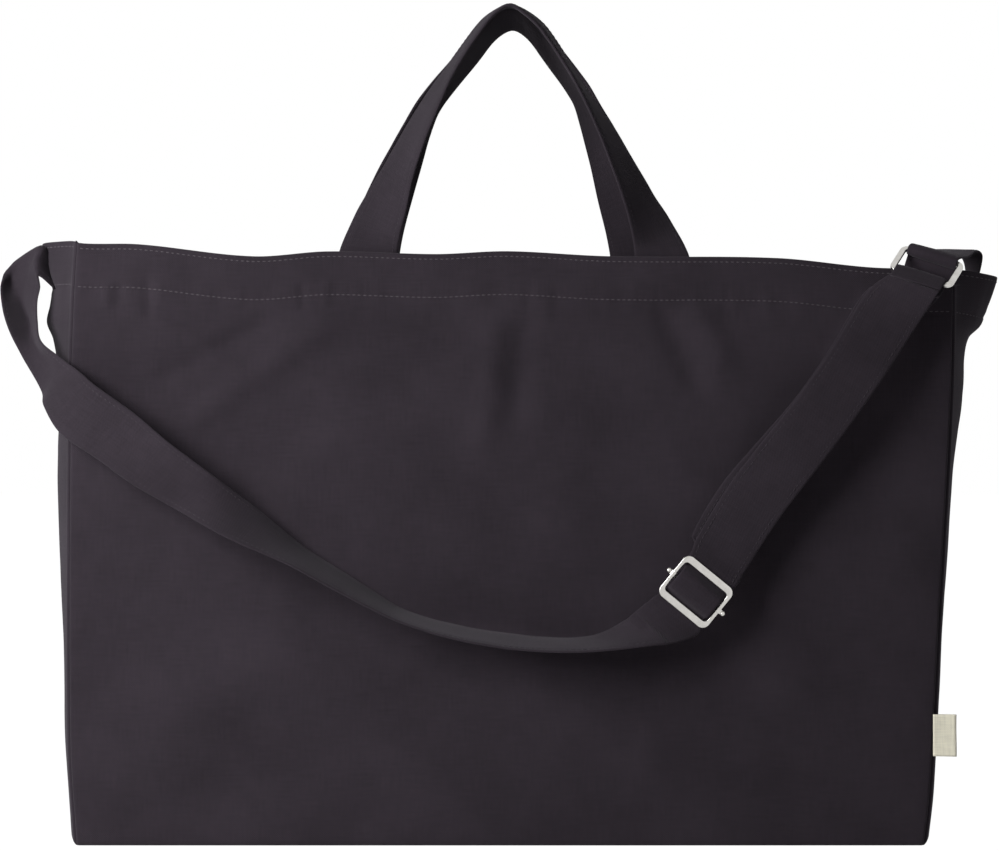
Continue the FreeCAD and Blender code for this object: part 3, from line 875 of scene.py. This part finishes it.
sheet = [(out, 1) for out in steps(0, 1, 12)] + [(1.0, 0.0)] + [(out, -1) for out in steps(1, 0, 12)]
label = woven("side_label_tape", sheet, steps(0, 1, 18), on_label, cream, 0.0004, 0.0)
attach(label, "bag")
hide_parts("side_label")


# ------------------------------------------------------------------ stitching
# Lockstitch in charcoal thread, 3 mm to a stitch: two rows round the mouth, and a row along
# each edge of the handles, the strap and the two layers between slider and ring.

STITCH = 0.003
# where the thread leaves and enters the cloth, as shares of a stitch
OUT_AT, IN_AT = 0.12, 0.88
THREAD_HALF_WIDTH = 0.00034
THREAD_HALF_HEIGHT = 0.00028

def sew(name, pairs, finish):
    """One small bead of thread for each pair of ends, with the way out of the cloth."""
    mesh = bpy.data.meshes.new(name)
    row = bmesh.new()
    whole = bmesh.new()
    for i, (start, end, out) in enumerate(pairs):
        way = end - start
        side_way = way.cross(out).normalized()
        up = side_way.cross(way).normalized()
        turn = Matrix((side_way, way.normalized(), up)).transposed().to_4x4()
        size = Matrix.Diagonal((THREAD_HALF_WIDTH, way.length / 2, THREAD_HALF_HEIGHT, 1))
        place = Matrix.Translation((start + end) / 2 - up * 0.00003) @ turn @ size
        bmesh.ops.create_uvsphere(row, u_segments=6, v_segments=4, radius=1.0, matrix=place)
        if i % 40 == 39 or i == len(pairs) - 1:
            row.to_mesh(mesh)
            whole.from_mesh(mesh)
            row.clear()
    for face in whole.faces:
        face.smooth = True
    whole.to_mesh(mesh)
    row.free()
    whole.free()
    return placed(name, mesh, finish)


def wall_row(wall, out, below):
    """The ends of each stitch in a row round the mouth, so far below its edge."""
    pairs = []
    width = (wall(1.0, NEAR_MOUTH) - wall(0.0, NEAR_MOUTH)).length
    count = round(width / STITCH)
    for i in range(count):
        ends = []
        for share in ((i + OUT_AT) / count, (i + IN_AT) / count):
            spot = wall(share, NEAR_MOUTH)
            ends.append(wall(share, rim(spot.x, spot.y) - below))
        pairs.append((*ends, out))
    return pairs


rows = []
for (wall, out, along), count in walls.values():
    rows += wall_row(wall, out, TOP_ROW) + wall_row(wall, out, HEM - 0.0008)
hem_rows = sew("hem_stitches", rows, thread)
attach(hem_rows, "bag")


def band_rows(lines, thickness, start=0.0):
    """The ends of each stitch along both edges of a band, on both faces."""
    pairs = []
    length = lines[0][-1][0]
    for i in range(int((length - 2 * start) / STITCH)):
        first = band_row(lines, start + (i + OUT_AT) * STITCH)
        last = band_row(lines, start + (i + IN_AT) * STITCH)
        for share in (-STITCH_LINE, STITCH_LINE):
            a, b = follow(first, share), follow(last, share)
            across = follow(first, share + 0.02) - follow(first, share - 0.02)
            normal = across.cross(b - a).normalized()
            for face in (1, -1):
                lift = normal * face * half_thick(share, thickness)
                pairs.append((a + lift, b + lift, normal * face))
    return pairs


for name, side, lines in (("front_handle", -1, front_handle), ("back_handle", 1, back_handle)):
    seams = sew(name + "_stitches", band_rows(lines, HANDLE_THICKNESS, 0.026), band_thread)
    side * 0.036
    side * 0.036
    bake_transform(seams)
seams = sew("shoulder_strap_stitches", band_rows(strap_lines, STRAP_THICKNESS), band_thread)
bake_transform(seams)
for name, lines, keep in runs:
    seams = sew(name + "_stitches", band_rows(lines, RUN_THICKNESS), band_thread)
    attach(seams, "shoulder_strap")
    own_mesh(seams)
